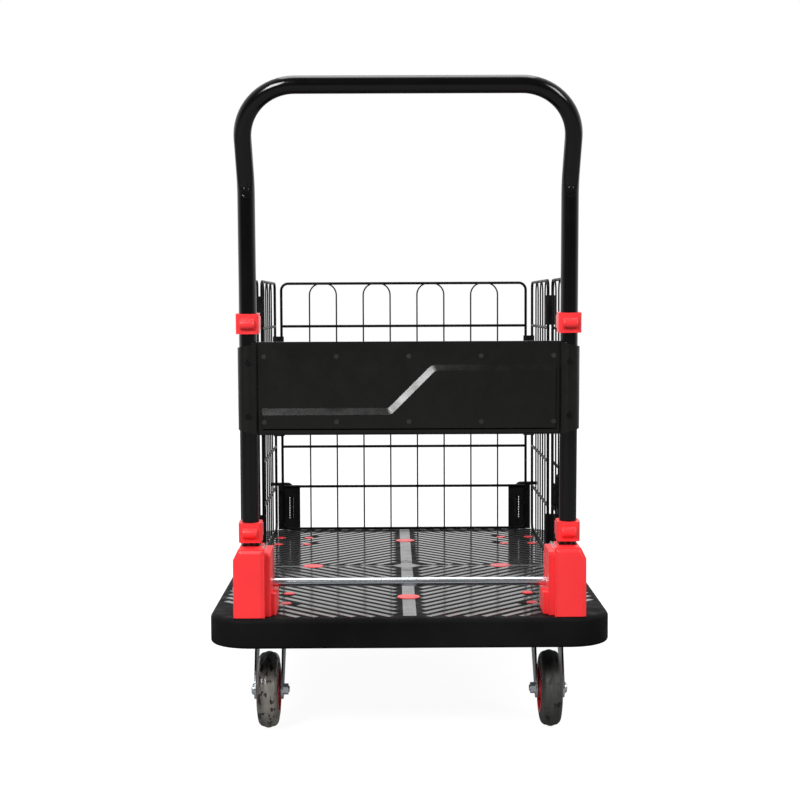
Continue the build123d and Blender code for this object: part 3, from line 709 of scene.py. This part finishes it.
def tyre_profile(half, outer, inner):
    """A tread that is gently crowned, with round shoulders and a bead step at the hub."""
    flank = [(-half, inner), (-half, inner + 3 * MM), (-half + BEAD_STEP, inner + 4 * MM)]
    for i in range(PROFILE_STEPS + 1):
        turn = radians(90) * i / PROFILE_STEPS
        x = -half + SHOULDER - (SHOULDER - BEAD_STEP) * cos(turn)
        flank.append((x, outer - TREAD_CROWN - SHOULDER + SHOULDER * sin(turn)))
    tread = []
    for i in range(1, PROFILE_STEPS):
        part = i / PROFILE_STEPS
        x = (-half + SHOULDER) * (1 - 2 * part)
        tread.append((x, outer - TREAD_CROWN * (1 - sin(pi * part))))
    return flank + tread + [(-x, r) for x, r in reversed(flank)]


def make_tyres():
    for end in ("near", "far"):
        for side in SIDES:
            node = f"{end}_tyre_{side}"
            low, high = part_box(node)
            centre = [(a + b) / 2 for a, b in zip(low, high)]
            half, outer = (high[0] - low[0]) / 2, (high[2] - low[2]) / 2
            profile = tyre_profile(half, outer, HUB_RADIUS)
            piece = lathe("round_" + node, profile, centre, finish_for(node), body_with(node))
            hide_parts(node)


# Springs

def make_spring(node):
    """A copy of a spring with a mesh of its own, which stands for it."""
    spring = new_piece("coil_" + node, node_mesh(node), finish_for(node), body_with(node), 60)
    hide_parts(node)
    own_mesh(spring)


def make_springs():
    for side in SIDES:
        make_spring(f"bar_spring_{side}")
        make_spring(f"drop_bolt_spring_{side}")


# Studio

FLOOR_HALF = 6
FLOOR_TONE = (0.16, 0.16, 0.16, 1)
FLOOR_GLOW = 0.08
FLOOR_GLOW_FOR_CAMERA = 0.93
STUDIO_DIM, STUDIO_BRIGHT = 0.10, 1.05
STUDIO_FADE = 0.45
WHITE = (1, 1, 1, 1)
LIGHT_TARGET = (0, 0, 0.4)


def make_floor():
    half = FLOOR_HALF
    mesh = bpy.data.meshes.new("floor")
    corners = [(-half, -half, 0), (half, -half, 0), (half, half, 0), (-half, half, 0)]
    mesh.from_pydata(corners, [], [(0, 1, 2, 3)])
    floor = bpy.data.objects.new("floor", mesh)
    bpy.context.scene.collection.objects.link(floor)
    material = bpy.data.materials.new("floor")
    material.use_nodes = True
    nodes, links = material.node_tree.nodes, material.node_tree.links
    shader = nodes["Principled BSDF"]
    glow = nodes.new("ShaderNodeMapRange")
    glow.inputs["To Min"].default_value = FLOOR_GLOW
    glow.inputs["To Max"].default_value = FLOOR_GLOW_FOR_CAMERA
    links.new(nodes.new("ShaderNodeLightPath").outputs["Is Camera Ray"], glow.inputs["Value"])
    links.new(glow.outputs["Result"], shader.inputs["Emission Strength"])
    shader.inputs["Base Color"].default_value = FLOOR_TONE
    shader.inputs["Roughness"].default_value = 0.7
    shader.inputs["Specular IOR Level"].default_value = 0.1
    shader.inputs["Emission Color"].default_value = WHITE
    dress(floor, material)


def add_light(name, place, size, power):
    data = bpy.data.lights.new(name, "AREA")
    data.shape = "RECTANGLE"
    data.size, data.size_y = size
    data.energy = power
    light = bpy.data.objects.new(name, data)
    light.location = place
    aim = Vector(LIGHT_TARGET) - Vector(place)
    light.rotation_euler = aim.to_track_quat("-Z", "Y").to_euler()
    bpy.context.scene.collection.objects.link(light)


def make_world():
    """White behind the object; for reflections, a studio that is bright behind and dim towards the camera."""
    world = bpy.data.worlds.new("studio")
    bpy.context.scene.world = world
    world.use_nodes = True
    nodes, links = world.node_tree.nodes, world.node_tree.links
    split = nodes.new("ShaderNodeSeparateXYZ")
    links.new(nodes.new("ShaderNodeTexCoord").outputs["Generated"], split.inputs[0])
    fade = nodes.new("ShaderNodeMapRange")
    fade.inputs["From Min"].default_value = -STUDIO_FADE
    fade.inputs["From Max"].default_value = STUDIO_FADE
    fade.inputs["To Min"].default_value = STUDIO_DIM
    fade.inputs["To Max"].default_value = STUDIO_BRIGHT
    links.new(split.outputs["Y"], fade.inputs["Value"])
    studio = nodes["Background"]
    studio.inputs["Color"].default_value = WHITE
    links.new(fade.outputs["Result"], studio.inputs["Strength"])
    backdrop = nodes.new("ShaderNodeBackground")
    backdrop.inputs["Color"].default_value = WHITE
    mix = nodes.new("ShaderNodeMixShader")
    links.new(nodes.new("ShaderNodeLightPath").outputs["Is Camera Ray"], mix.inputs["Fac"])
    links.new(studio.outputs["Background"], mix.inputs[1])
    links.new(backdrop.outputs["Background"], mix.inputs[2])
    links.new(mix.outputs["Shader"], nodes["World Output"].inputs["Surface"])


def make_studio():
    make_world()
    add_light("top", (0, 0.3, 2.8), (1.6, 1.6), 35)
    add_light("left", (-1.3, -2.4, 1.95), (0.9, 1.0), 78)
    add_light("right", (2.1, -1.9, 1.8), (0.7, 1.3), 40)
    make_floor()
    bpy.context.scene.view_settings.view_transform = "Standard"


make_camera()
make_studio()
MATERIALS = make_materials()
dress_nodes()
for side in SIDES:
    softened(f"bracket_housing_{side}", 3.4 * MM, 4)
    softened(f"bracket_cover_{side}", 1.0 * MM)
    softened(f"lower_clip_{side}", 1.0 * MM)
    softened(f"upper_clip_{side}", 1.0 * MM)
make_ribs()
make_cap_slot_shades()
make_strip_rhombus()
make_strip_marks()
make_guard_relief()
make_guard_marks()
make_press_marks()
make_bracket_pads()
make_springs()
make_tyres()
